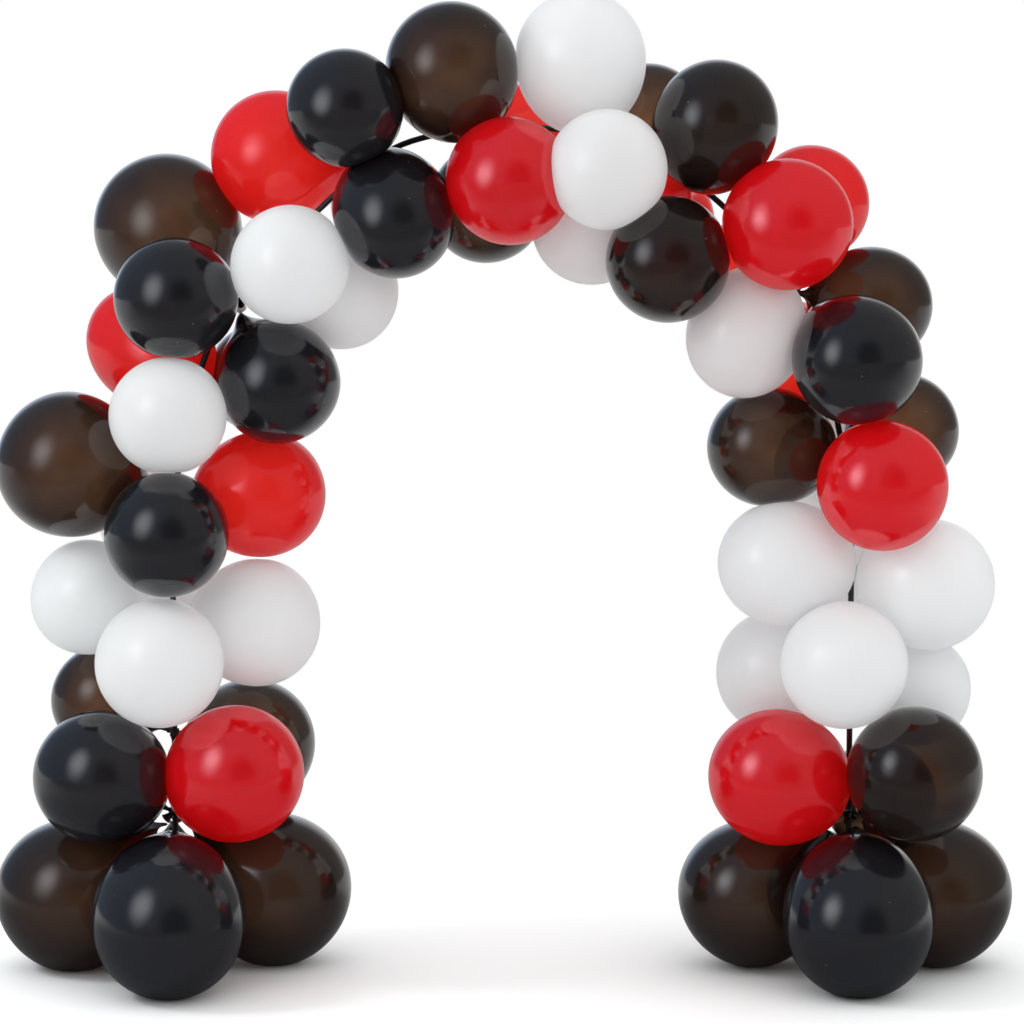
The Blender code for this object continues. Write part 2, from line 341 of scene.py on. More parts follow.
def place_bodies():
    """Return every balloon's body with the planes that it is pressed against."""
    route = pole_route(LEG_STEPS, ROUTE_STEPS)
    bodies = [Body(number, knot, balloon, route)
              for number, knot, balloons in CLUSTERS for balloon in balloons]
    for i, first in enumerate(bodies):
        for second in bodies[i + 1:]:
            press(first, second)
        line = nearest_on_route(route, first.centre) - first.centre
        direction = line.normalized()
        room = line.length - POLE_RADIUS - POLE_GAP
        first.planes.append((direction, direction.dot(first.centre) + room))
        if first.cluster in FOOT_CLUSTERS:
            first.planes.append((-UP, 0.0))
    return bodies


def solid_of(body):
    """Return the name of the CAD node that a balloon replaces."""
    for chain in GLUED:
        if (body.cluster, body.place) in chain:
            return "balloon_{:02d}_{}".format(*chain[0])
    return body.name()


# ----------------------------------------------------------
# Finishes

def add(tree, kind, inputs=None, **settings):
    """Add a node with its settings, set or link its inputs, and return it.

    An input goes by its name, or by its number where a node has two of one name.
    """
    node = tree.nodes.new(kind)
    for name, value in settings.items():
        setattr(node, name, value)
    for name, value in (inputs or {}).items():
        if isinstance(value, bpy.types.NodeSocket):
            tree.links.new(value, node.inputs[name])
        else:
            node.inputs[name].default_value = value
    return node


def new_material(name):
    """Return an empty node material and its tree."""
    material = bpy.data.materials.new(name)
    material.use_nodes = True
    material.node_tree.nodes.clear()
    return material, material.node_tree


# Sizes of the patterns.
CLOUDS = 60 * MM
DUST_SPACING = 30 * MM
SMUDGES = 35 * MM
PEEL = 7 * MM
BLOOM = 4 * MM
STRANDS = 1.6 * MM
DUST = "cecbc8"
DUSTLESS = 0.82              # share of the places that hold no speck

# How blown latex takes light.  glow is what it scatters through, tint what it lets straight
# through and gloss the colour of its shine; glow_share and clear_share say how much of the
# wall scatters light through and lets it through.  coat is the weight of its wet shine, and
# rougher is added to the roughness of the film.
Latex = namedtuple("Latex", "name glow tint gloss glow_share clear_share ior coat rougher")

LATEX_KINDS = {
    # Nearly solid black and glossy; light that comes through is brown.
    "black": Latex("blown black latex", "c08a6c", "f1cdb8", "ffffff", 0.06, 0.23, 1.50, 0.38,
                   0.0),
    # The same latex blown thinner, smoky brown with its neighbours showing through: painted
    # backlight on the balloons stretched furthest.
    "smoke": Latex("thin black latex", "c08a6c", "f1cdb0", "ffffff", 0.07, 0.23, 1.50, 0.38,
                   0.0),
    # Deep clear red whose broad highlights are pink, for which its IOR is above latex's 1.5.
    "red": Latex("blown red latex", "ff544c", "ff8276", "ffceda", 0.48, 0.42, 2.5, 0.32, 0.0),
    # Milky white that glows with the light behind it, softer in its shine.
    "white": Latex("blown white latex", "f8f9f9", "ffffff", "ffffff", 0.50, 0.07, 1.42, 0.35,
                   0.16),
}


def latex_material(latex, film, roughness):
    """Blown latex: a thin stretched film, glossy outside, smoky where light comes through."""
    material, tree = new_material(latex.name)
    place = add(tree, "ShaderNodeTexCoord").outputs["Object"]
    # The wall's thinness: thicker at crown and neck, and by place painted backlight.
    thin = add(tree, "ShaderNodeAttribute", attribute_name="thinness").outputs["Fac"]
    # The wall is a little uneven, in soft clouds.
    cloud = add(tree, "ShaderNodeTexNoise", {"Vector": place, "Scale": 1 / CLOUDS, "Detail": 2.0,
                                             "Roughness": 0.45})
    uneven = add(tree, "ShaderNodeMapRange", {"Value": cloud.outputs["Fac"], "From Min": 0.3,
                                              "From Max": 0.7, "To Min": 0.82, "To Max": 1.12})
    share = add(tree, "ShaderNodeMath", {0: thin, 1: uneven.outputs["Result"]},
                operation="MULTIPLY")
    square_on = add(tree, "ShaderNodeMath", {0: share.outputs[0], 1: latex.clear_share},
                    operation="MULTIPLY")
    # Seen at a slant the light has more latex to pass, which darkens a balloon's rim.
    slant = add(tree, "ShaderNodeLayerWeight", {"Blend": 0.5})
    upright = add(tree, "ShaderNodeMath", {0: 1.0, 1: slant.outputs["Facing"]},
                  operation="SUBTRACT")
    crossings = add(tree, "ShaderNodeMath", {0: 1.0, 1: upright.outputs[0]}, operation="DIVIDE")
    clear_share = add(tree, "ShaderNodeMath", {0: square_on.outputs[0], 1: crossings.outputs[0]},
                      operation="POWER", use_clamp=True)
    # Dust: pale specks about 1.5 mm across, drawn coarser than real so that they show.
    grains = add(tree, "ShaderNodeTexVoronoi", {"Vector": place, "Scale": 1 / DUST_SPACING,
                                                "Randomness": 1.0})
    speck = add(tree, "ShaderNodeMapRange", {"Value": grains.outputs["Distance"],
                                             "From Min": 0.020, "From Max": 0.034,
                                             "To Min": 0.55, "To Max": 0.0})
    chosen = add(tree, "ShaderNodeSeparateColor", {"Color": grains.outputs["Color"]})
    few = add(tree, "ShaderNodeMath", {0: chosen.outputs["Red"], 1: DUSTLESS},
              operation="GREATER_THAN")
    dust = add(tree, "ShaderNodeMath", {0: speck.outputs["Result"], 1: few.outputs[0]},
               operation="MULTIPLY")
    colour = add(tree, "ShaderNodeMix", {0: dust.outputs[0], 6: (*film, 1.0),
                                         7: (*linear(DUST), 1.0)}, data_type="RGBA")
    # Finger marks and bloom leave patches that are a little less glossy.
    smudge = add(tree, "ShaderNodeTexNoise", {"Vector": place, "Scale": 1 / SMUDGES,
                                              "Detail": 4.0})
    dull = add(tree, "ShaderNodeMapRange", {"Value": smudge.outputs["Fac"], "From Min": 0.35,
                                            "From Max": 0.75, "To Min": roughness,
                                            "To Max": roughness + 0.07})
    # Faint orange peel of the dipped film.
    peel = add(tree, "ShaderNodeTexNoise", {"Vector": place, "Scale": 1 / PEEL, "Detail": 1.0})
    relief = add(tree, "ShaderNodeBump", {"Height": peel.outputs["Fac"], "Strength": 0.10,
                                          "Distance": 0.0002})
    shell = add(tree, "ShaderNodeBsdfPrincipled",
                {"Base Color": colour.outputs[2], "Roughness": dull.outputs["Result"],
                 "Normal": relief.outputs["Normal"], "IOR": latex.ior,
                 "Specular Tint": (*linear(latex.gloss), 1.0), "Coat Weight": latex.coat,
                 "Coat Roughness": 0.06, "Coat IOR": 1.5})
    glow = add(tree, "ShaderNodeBsdfTranslucent", {"Color": (*linear(latex.glow), 1.0)})
    lit = add(tree, "ShaderNodeMixShader", {0: latex.glow_share, 1: shell.outputs[0],
                                            2: glow.outputs[0]})
    clear = add(tree, "ShaderNodeBsdfTransparent", {"Color": (*linear(latex.tint), 1.0)})
    wall = add(tree, "ShaderNodeMixShader", {0: clear_share.outputs[0], 1: lit.outputs[0],
                                             2: clear.outputs[0]})
    add(tree, "ShaderNodeOutputMaterial", {"Surface": wall.outputs[0]})
    return material


def tie_material(colour):
    """Unblown latex strip: dense, satin, with a chalky bloom."""
    material, tree = new_material("stretched latex strip")
    place = add(tree, "ShaderNodeTexCoord").outputs["Object"]
    bloom = add(tree, "ShaderNodeTexNoise", {"Vector": place, "Scale": 1 / BLOOM, "Detail": 3.0})
    dull = add(tree, "ShaderNodeMapRange", {"Value": bloom.outputs["Fac"], "To Min": 0.35,
                                            "To Max": 0.60})
    shell = add(tree, "ShaderNodeBsdfPrincipled",
                {"Base Color": (*colour, 1.0), "Roughness": dull.outputs["Result"], "IOR": 1.5})
    add(tree, "ShaderNodeOutputMaterial", {"Surface": shell.outputs[0]})
    return material


def pole_material(colour):
    """Glass-fibre rod: satin, with fine drawn lines along it."""
    material, tree = new_material("drawn glass-fibre rod")
    place = add(tree, "ShaderNodeTexCoord").outputs["Object"]
    # Strand lines that run up the legs and fade over the arch.
    strands = add(tree, "ShaderNodeTexNoise",
                  {"Vector": add(tree, "ShaderNodeMapping",
                                 {"Vector": place, "Scale": (1.0, 1.0, 0.04)}).outputs[0],
                   "Scale": 1 / STRANDS, "Detail": 2.0})
    dull = add(tree, "ShaderNodeMapRange", {"Value": strands.outputs["Fac"], "To Min": 0.28,
                                            "To Max": 0.50})
    relief = add(tree, "ShaderNodeBump", {"Height": strands.outputs["Fac"], "Strength": 0.3,
                                          "Distance": 0.0001})
    shell = add(tree, "ShaderNodeBsdfPrincipled",
                {"Base Color": (*colour, 1.0), "Roughness": dull.outputs["Result"],
                 "Normal": relief.outputs["Normal"], "IOR": 1.55})
    add(tree, "ShaderNodeOutputMaterial", {"Surface": shell.outputs[0]})
    return material


# ----------------------------------------------------------
# Shapes

def spin_profile(shape, outline, steps):
    """Turn an outline of radius and height round Z, closed at its ends; return its points."""
    before = set(shape.verts)
    chain = [shape.verts.new((radius, 0.0, height)) for radius, height in outline]
    edges = [shape.edges.new(pair) for pair in zip(chain, chain[1:])]
    bmesh.ops.spin(shape, geom=chain + edges, axis=(0.0, 0.0, 1.0), cent=(0.0, 0.0, 0.0),
                   angle=2 * math.pi, steps=steps, use_merge=True)
    made = [vert for vert in shape.verts if vert not in before]
    bmesh.ops.remove_doubles(shape, verts=made, dist=0.000001)
    return [vert for vert in shape.verts if vert not in before]


def put(shape, points, direction, place):
    """Turn points from +Z to a direction and move them to their place."""
    turn = UP.rotation_difference(direction).to_matrix()
    bmesh.ops.rotate(shape, verts=points, matrix=turn, cent=(0.0, 0.0, 0.0))
    bmesh.ops.translate(shape, verts=points, vec=place)


def envelope_outline(body, sizes):
    """Return the turned outline from the crown to the pinched end of the neck."""
    reach = (body.centre - body.knot).length
    knot_at = max(reach - sizes.knot_offset, body.half_length * KNOT_CLEAR)
    neck_at = max(knot_at - sizes.neck_length, body.half_length * NECK_CLEAR)
    # From here a straight line to the neck just touches the body, which makes it a pear.
    last = min(math.pi - math.acos(body.half_length / neck_at), math.radians(LAST_RING))
    steps = 36
    outline = []
    for i in range(steps + 1):
        angle = last * i / steps
        fullness = 1 + EGG * math.cos(angle)
        outline.append((body.half_width * math.sin(angle) * fullness,
                        body.half_length * math.cos(angle)))
    start_radius, start_height = outline[-1]
    slope_radius = body.half_width * (math.cos(last) * (1 + EGG * math.cos(last))
                                      - EGG * math.sin(last) ** 2)
    slope_height = -body.half_length * math.sin(last)
    funnel = 10
    length = math.hypot(start_radius, neck_at + start_height)
    scale = length / math.hypot(slope_radius, slope_height)
    for i in range(1, funnel + 1):
        t = i / funnel
        near = 2 * t ** 3 - 3 * t ** 2 + 1
        leave = t ** 3 - 2 * t ** 2 + t
        far = 3 * t ** 2 - 2 * t ** 3
        arrive = t ** 3 - t ** 2
        outline.append((near * start_radius + leave * slope_radius * scale
                        + far * sizes.neck_radius,
                        near * start_height + leave * slope_height * scale
                        - far * neck_at - arrive * length))
    tube = 4
    for i in range(1, tube + 1):
        t = i / tube
        outline.append((sizes.neck_radius + (sizes.pinch_radius - sizes.neck_radius) * t,
                        -neck_at - (knot_at - neck_at) * t))
    outline[0] = (0.0, body.half_length)
    outline.append((0.0, -knot_at))
    return outline, knot_at


def pressed(distance, limit, blend):
    """Return a distance held below a limit, easing into it over a short blend."""
    over = distance - limit
    if over <= -blend:
        return distance
    if over >= blend:
        return limit
    return distance - (over + blend) ** 2 / (4 * blend)


def press_points(points, body, blend):
    """Flatten the points of a balloon against its neighbours, the pole and the floor."""
    for normal, limit in body.planes:
        for vert in points:
            distance = vert.co.dot(normal)
            kept = pressed(distance, limit, blend)
            if kept != distance:
                vert.co += normal * (kept - distance)


def tail_outline(sizes):
    """Return the turned outline of the loose end past a knot, flared to its rolled lip."""
    steps = 6
    flare = [(sizes.pinch_radius + (sizes.lip_radius - sizes.pinch_radius) * (i / steps) ** FLARE,
              sizes.tail_length * i / steps) for i in range(1, steps + 1)]
    outline = [(0.0, -TAIL_ROOT), (sizes.pinch_radius, 0.0), *flare]
    roll = 8
    for i in range(1, roll):
        angle = -math.pi / 2 + 2 * math.pi * i / roll
        outline.append((sizes.lip_radius + sizes.roll_radius * math.cos(angle),
                        sizes.tail_length + sizes.roll_radius * (1 + math.sin(angle))))
    outline += [(BORE * radius, height + BORE_STEP) for radius, height in reversed(flare)]
    outline.append((0.0, BORE_END))
    return outline


def knot_outline(sizes):
    """Return the turned outline of the knot, a squat bead."""
    steps = 10
    return [(sizes.knot_radius * math.sin(math.pi * i / steps),
             KNOT_SQUAT * sizes.knot_radius * math.cos(math.pi * i / steps))
            for i in range(steps + 1)]


def tail_direction(body, index):
    """Return the way a balloon's loose end points: along the pole, leaning out of the way."""
    side = body.axis.cross(body.along)
    if side.length < 0.1:
        side = body.axis.cross(UP)
    side.normalize()
    along = body.axis.cross(side).normalized()
    angle = TAIL_START + TAIL_TURN * index
    return (along * math.cos(angle) + side * math.sin(angle)
            + body.axis * TAIL_LEAN).normalized()


def loft_tube(shape, route, radius, sides):
    """Sweep a round bar along a route in the plane of the arch, with flat ends."""
    rings = []
    for i, point in enumerate(route):
        before = route[max(i - 1, 0)]
        after = route[min(i + 1, len(route) - 1)]
        direction = (after - before).normalized()
        circle = bmesh.ops.create_circle(shape, cap_ends=False, radius=radius, segments=sides)
        ring = circle["verts"]
        put(shape, ring, direction, point)
        rings.append(ring)
    for near, far in zip(rings, rings[1:]):
        edges = dict.fromkeys(edge for vert in near + far for edge in vert.link_edges
                              if edge.other_vert(vert) in near + far)
        bmesh.ops.bridge_loops(shape, edges=[edge for edge in edges
                                             if len(edge.link_faces) < 2])
    rims = [edge for edge in shape.edges if edge.is_boundary]
    bmesh.ops.holes_fill(shape, edges=rims, sides=0)


def wind_tie(shape, place, along, look):
    """Wind a strip round the pole over a cluster's knots."""
    thickness = look.tie_thickness
    before = set(shape.verts)
    bmesh.ops.create_circle(shape, cap_ends=True, radius=thickness / 2,
                            segments=TIE_SIDES)
    ring = [vert for vert in shape.verts if vert not in before]
    bmesh.ops.rotate(shape, verts=ring, cent=(0.0, 0.0, 0.0),
                     matrix=Matrix.Rotation(math.pi / 2, 3, "X"))
    start = -thickness * look.tie_turns / 2
    bmesh.ops.translate(shape, verts=ring, vec=(POLE_RADIUS + thickness / 2, 0.0, start))
    steps = TIE_STEPS * look.tie_turns
    faces = [face for face in shape.faces if face.verts[0] in ring]
    bmesh.ops.spin(shape, geom=faces, cent=(0.0, 0.0, 0.0), axis=(0.0, 0.0, 1.0),
                   dvec=(0.0, 0.0, thickness * look.tie_turns / steps),
                   angle=2 * math.pi * look.tie_turns, steps=steps)
    put(shape, [vert for vert in shape.verts if vert not in before], along, place)


def finish_piece(shape, name, material):
    """Turn a bmesh into a smooth object that rides on the arch, and return it."""
    bmesh.ops.recalc_face_normals(shape, faces=shape.faces)
    mesh = bpy.data.meshes.new(name)
    shape.to_mesh(mesh)
    shape.free()
    mesh.materials.append(material)
    mesh.shade_smooth()
    item = bpy.data.objects.new(name, mesh)
    bpy.context.scene.collection.objects.link(item)
    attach(item, "root")
    return item


def stretch_for_backlight_of(body):
    """Return how far the wall of a balloon's round body is stretched, which by place is painted
    backlight.
    """
    side = FOOT_STRETCH_FOR_BACKLIGHT if body.cluster in FOOT_CLUSTERS else SIDE_STRETCH_FOR_BACKLIGHT
    usual = STRETCH_FOR_BACKLIGHT.get(body.place.split("_")[0], side)
    return ODD_STRETCH_FOR_BACKLIGHT.get((body.cluster, body.place), usual)


def film_thinness_and_backlight(body, height):
    """Return how thin the stretched wall is at a height, 0 where it isn't stretched; its stretch
    by place is painted backlight.
    """
    above = height / body.half_length
    if above > CROWN_SPOT:
        return stretch_for_backlight_of(body) * (1.0 - CROWN_LOSS * (above - CROWN_SPOT) / (1 - CROWN_SPOT))
    if above < -NECK_START:
        return stretch_for_backlight_of(body) * max(0.0, 1.0 - (-above - NECK_START) / NECK_FADE)
    return stretch_for_backlight_of(body)


def check_fit(points, body, solid):
    """Stop if a balloon's envelope doesn't lie on the solid that it stands for."""
    low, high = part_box(solid)
    glued = any((body.cluster, body.place) in chain for chain in GLUED)
    for axis in range(3):
        reach = [vert.co[axis] for vert in points]
        outside = max(low[axis] - min(reach), max(reach) - high[axis])
        inside = 0.0 if glued else max(min(reach) - low[axis], high[axis] - max(reach))
        if outside > BOX_SLACK or inside > BOX_SLACK:
            raise RuntimeError("{} is {:.1f} mm outside and {:.1f} mm inside along {}".format(
                body.name(), outside / MM, inside / MM, "xyz"[axis]))


# ----------------------------------------------------------
# Floor, light and camera

MIDDLE = Vector((POLE_X, POLE_Y, 0.93))      # what the lights and the camera face
FLOOR_REACH = 30.0
PAINTED_FLOOR_SHADE_IN_GLOSS = "737376"    # painted shade of the floor in the balloons' gloss
KEY_PLACE = MIDDLE + Vector((-3.75, -0.6, 2.2))
KEY_SIZE = (1.55, 2.05)
KEY_COLOUR = (0.93, 0.975, 1.0)
SHINE_PLACE = MIDDLE + Vector((-3.0, -2.9, 1.6))
SHINE_COLOUR = (0.96, 0.985, 1.0)
# The lights that only the gloss finds: name, size and share of the power.
SHINE_LIGHTS = (("softbox in the gloss", (3.8, 5.2), 0.45),
                ("lamp in the gloss", (1.3, 1.7), 0.55))
EYE = Vector((POLE_X, -6.95, 1.718))
LENS = 123.05
WHITE = (1.0, 1.0, 1.0, 1.0)


def floor_material(colour):
    """Painted floor round the arch that turns into plain white light further out."""
    material, tree = new_material("white painted floor")
    place = add(tree, "ShaderNodeTexCoord").outputs["Object"]
    parts = add(tree, "ShaderNodeSeparateXYZ", {"Vector": place})
    away = add(tree, "ShaderNodeVectorMath", {0: place}, operation="LENGTH")
    round_about = add(tree, "ShaderNodeMapRange", {"Value": away.outputs["Value"],
                                                   "From Min": 1.3, "From Max": 2.6},
                      interpolation_type="SMOOTHSTEP")
    behind = add(tree, "ShaderNodeMapRange", {"Value": parts.outputs["Y"], "From Min": 0.0,
                                              "From Max": 0.9}, interpolation_type="SMOOTHSTEP")
    fade = add(tree, "ShaderNodeMath", {0: round_about.outputs["Result"],
                                        1: behind.outputs["Result"]}, operation="MAXIMUM")
    # Painted shade in the gloss: to glossy rays the floor is darker and dims towards the camera.
    dim = add(tree, "ShaderNodeMapRange", {"Value": parts.outputs["Y"], "From Min": -2.5,
                                           "From Max": 1.5, "To Min": 0.18, "To Max": 0.75},
              interpolation_type="SMOOTHSTEP")
    path = add(tree, "ShaderNodeLightPath")
    glow = add(tree, "ShaderNodeMix", {0: path.outputs["Is Glossy Ray"], 2: 1.0,
                                       3: dim.outputs["Result"]})
    shade = add(tree, "ShaderNodeMix", {0: path.outputs["Is Glossy Ray"], 6: (*colour, 1.0),
                                        7: (*linear(PAINTED_FLOOR_SHADE_IN_GLOSS), 1.0)}, data_type="RGBA")
    paint = add(tree, "ShaderNodeBsdfDiffuse", {"Color": shade.outputs[2]})
    white = add(tree, "ShaderNodeEmission", {"Color": WHITE, "Strength": glow.outputs[0]})
    mixed = add(tree, "ShaderNodeMixShader", {0: fade.outputs[0], 1: paint.outputs[0],
                                              2: white.outputs[0]})
    add(tree, "ShaderNodeOutputMaterial", {"Surface": mixed.outputs[0]})
    return material


def make_world(scene):
    """White studio: what is reflected is brightest behind the arch and darkest at the camera."""
    world = bpy.data.worlds.new("studio")
    scene.world = world
    world.use_nodes = True
    tree = world.node_tree
    tree.nodes.clear()
    look = add(tree, "ShaderNodeTexCoord").outputs["Generated"]
    parts = add(tree, "ShaderNodeSeparateXYZ", {"Vector": look})
    # Dim all round, with a bright wall straight behind the arch.
    sides = add(tree, "ShaderNodeMapRange", {"Value": parts.outputs["Y"], "From Min": -1.0,
                                             "From Max": 0.6, "To Min": 0.27, "To Max": 0.24})
    back = add(tree, "ShaderNodeMapRange", {"Value": parts.outputs["Y"], "From Min": 0.70,
                                            "From Max": 0.96, "To Min": 0.0, "To Max": 0.80},
               interpolation_type="SMOOTHSTEP")
    wall = add(tree, "ShaderNodeMath", {0: sides.outputs["Result"], 1: back.outputs["Result"]},
               operation="ADD")
    # A slightly brighter ceiling.
    ceiling = add(tree, "ShaderNodeMapRange", {"Value": parts.outputs["Z"], "From Min": 0.25,
                                               "From Max": 0.75, "To Min": 1.0, "To Max": 1.2},
                  interpolation_type="SMOOTHSTEP")
    # The dark part of the room, where the camera stands.
    narrow = add(tree, "ShaderNodeVectorMath", {0: look, 1: (1.0, 1.0, 0.7)},
                 operation="MULTIPLY")
    aside = add(tree, "ShaderNodeVectorMath", {0: narrow.outputs[0], 1: (0.28, -0.95, 0.10)},
                operation="DISTANCE")
    dark = add(tree, "ShaderNodeMapRange", {"Value": aside.outputs["Value"], "From Min": 0.20,
                                            "From Max": 0.58, "To Min": 0.12, "To Max": 1.0},
               interpolation_type="SMOOTHSTEP")
    lofty = add(tree, "ShaderNodeMath", {0: wall.outputs[0], 1: ceiling.outputs["Result"]},
                operation="MULTIPLY")
    seen = add(tree, "ShaderNodeMath", {0: lofty.outputs[0], 1: dark.outputs["Result"]},
               operation="MULTIPLY")
    # Cool from the left, warmer from the right.
    side = add(tree, "ShaderNodeMapRange", {"Value": parts.outputs["X"], "From Min": -0.6,
                                            "From Max": 0.5})
    tone = add(tree, "ShaderNodeMix", {0: side.outputs["Result"], 6: (0.78, 0.95, 1.22, 1.0),
                                       7: (1.03, 0.99, 0.96, 1.0)}, data_type="RGBA")
    path = add(tree, "ShaderNodeLightPath")
    room = add(tree, "ShaderNodeBackground", {"Color": tone.outputs[2],
                                              "Strength": seen.outputs[0]})
    # What falls on matt surfaces: more from above and from the right.
    above = add(tree, "ShaderNodeMapRange", {"Value": parts.outputs["Z"], "From Min": 0.0,
                                             "From Max": 1.0, "To Min": 0.98, "To Max": 1.55})
    across = add(tree, "ShaderNodeMapRange", {"Value": parts.outputs["X"], "From Min": -1.0,
                                              "From Max": 1.0, "To Min": 0.92, "To Max": 1.16})
    even = add(tree, "ShaderNodeMath", {0: above.outputs["Result"], 1: across.outputs["Result"]},
               operation="MULTIPLY")
    fill = add(tree, "ShaderNodeBackground", {"Color": WHITE, "Strength": even.outputs[0]})
    backdrop = add(tree, "ShaderNodeBackground", {"Color": WHITE, "Strength": 1.0})
    lit = add(tree, "ShaderNodeMixShader", {0: path.outputs["Is Diffuse Ray"],
                                            1: room.outputs[0], 2: fill.outputs[0]})
    shown = add(tree, "ShaderNodeMixShader", {0: path.outputs["Is Camera Ray"],
                                              1: lit.outputs[0], 2: backdrop.outputs[0]})
    add(tree, "ShaderNodeOutputWorld", {"Surface": shown.outputs[0]})


def soft_light(name, place, size, power, colour):
    """Add a rectangular area light that faces the arch, brightest in its middle."""
    light = bpy.data.lights.new(name, "AREA")
    light.shape = "RECTANGLE"
    light.size, light.size_y = size
    light.energy = power
    light.color = colour
    light.use_nodes = True
    tree = light.node_tree
    tree.nodes.clear()
    spot = add(tree, "ShaderNodeNewGeometry").outputs["Parametric"]
    off_centre = add(tree, "ShaderNodeVectorMath", {0: spot, 1: (0.5, 0.5, 0.0)},
                     operation="DISTANCE")
    cloth = add(tree, "ShaderNodeMapRange", {"Value": off_centre.outputs["Value"],
                                             "From Min": 0.0, "From Max": 0.50, "To Min": 2.2,
                                             "To Max": 0.0}, interpolation_type="SMOOTHSTEP")
    glow = add(tree, "ShaderNodeEmission", {"Color": WHITE, "Strength": cloth.outputs["Result"]})
    add(tree, "ShaderNodeOutputLight", {"Surface": glow.outputs[0]})
    item = bpy.data.objects.new(name, light)
    item.location = place
    item.rotation_euler = (MIDDLE - place).to_track_quat("-Z", "Y").to_euler()
    item.visible_camera = False
    bpy.context.scene.collection.objects.link(item)
    return item


# ----------------------------------------------------------
# What a user would change

class EnvelopeSizes(bpy.types.PropertyGroup):
    """Sizes of the balloons' necks, knots and loose ends."""

    neck_radius: bpy.props.FloatProperty(
        name="Neck radius", description="Radius of the neck where it leaves the body",
        default=0.0055, unit="LENGTH", subtype="DISTANCE")
    neck_length: bpy.props.FloatProperty(
        name="Neck length", description="Length of the neck in front of the knot",
        default=0.007, unit="LENGTH", subtype="DISTANCE")
    pinch_radius: bpy.props.FloatProperty(
        name="Pinch radius", description="Radius of the neck where it is pulled into the knot",
        default=0.0036, unit="LENGTH", subtype="DISTANCE")
    knot_offset: bpy.props.FloatProperty(
        name="Knot offset", description="Distance of a knot from the pole's axis",
        default=0.014, unit="LENGTH", subtype="DISTANCE")
    knot_radius: bpy.props.FloatProperty(
        name="Knot radius", description="Radius of the knot",
        default=0.0065, unit="LENGTH", subtype="DISTANCE")
    tail_length: bpy.props.FloatProperty(
        name="Tail length", description="Length of the loose end past the knot",
        default=0.024, unit="LENGTH", subtype="DISTANCE")
    lip_radius: bpy.props.FloatProperty(
        name="Lip radius", description="Radius of the mouth at the loose end",
        default=0.010, unit="LENGTH", subtype="DISTANCE")
    roll_radius: bpy.props.FloatProperty(
        name="Roll radius", description="Thickness of the rolled lip, as a radius",
        default=0.0013, unit="LENGTH", subtype="DISTANCE")
    press_blend: bpy.props.FloatProperty(
        name="Press blend", description="How softly a flat eases into the round of the body",
        default=0.005, unit="LENGTH", subtype="DISTANCE")
    sides: bpy.props.IntProperty(
        name="Sides", description="Steps round each balloon", default=96, min=24, max=128)


class LatexLook(bpy.types.PropertyGroup):
    """Colours and gloss of the latex."""

    black: bpy.props.FloatVectorProperty(
        name="Black", description="What black latex scatters back", subtype="COLOR",
        min=0.0, max=1.0, default=linear("191b20"))
    # The smoky film of the black balloons that get painted backlight.
    smoke: bpy.props.FloatVectorProperty(
        name="Smoke", description="What black latex scatters back where it is stretched thin",
        subtype="COLOR", min=0.0, max=1.0, default=linear("1b1715"))
    red: bpy.props.FloatVectorProperty(
        name="Red", description="What red latex scatters back", subtype="COLOR",
        min=0.0, max=1.0, default=linear("dc0c1d"))
    white: bpy.props.FloatVectorProperty(
        name="White", description="What white latex scatters back", subtype="COLOR",
        min=0.0, max=1.0, default=linear("f4f7f8"))
    roughness: bpy.props.FloatProperty(
        name="Roughness", description="Roughness of the film under its gloss",
        default=0.12, min=0.0, max=1.0, subtype="FACTOR")


class PoleLook(bpy.types.PropertyGroup):
    """Look of the pole and the ties on it."""

    colour: bpy.props.FloatVectorProperty(
        name="Colour", description="Colour of the rod", subtype="COLOR",
        min=0.0, max=1.0, default=linear("1b1a1a"))
    tie_thickness: bpy.props.FloatProperty(
        name="Tie thickness", description="Thickness of the strip wound round the knots",
        default=0.0040, unit="LENGTH", subtype="DISTANCE")
    tie_turns: bpy.props.IntProperty(
        name="Tie turns", description="Times the strip goes round the pole", default=4, min=1,
        max=12)


class StageLook(bpy.types.PropertyGroup):
    """Colour of the floor and power of the lights."""

    floor: bpy.props.FloatVectorProperty(
        name="Floor", description="Colour of the floor", subtype="COLOR",
        min=0.0, max=1.0, default=linear("f0f1f1"))
    key_power: bpy.props.FloatProperty(
        name="Key power", description="Power of the softbox at the left front, in watts",
        default=106.0, min=0.0)
    shine_power: bpy.props.FloatProperty(
        name="Shine power", description="Power of the lights that the gloss reflects, in watts",
        default=160.0, min=0.0)


# ----------------------------------------------------------
# Operators

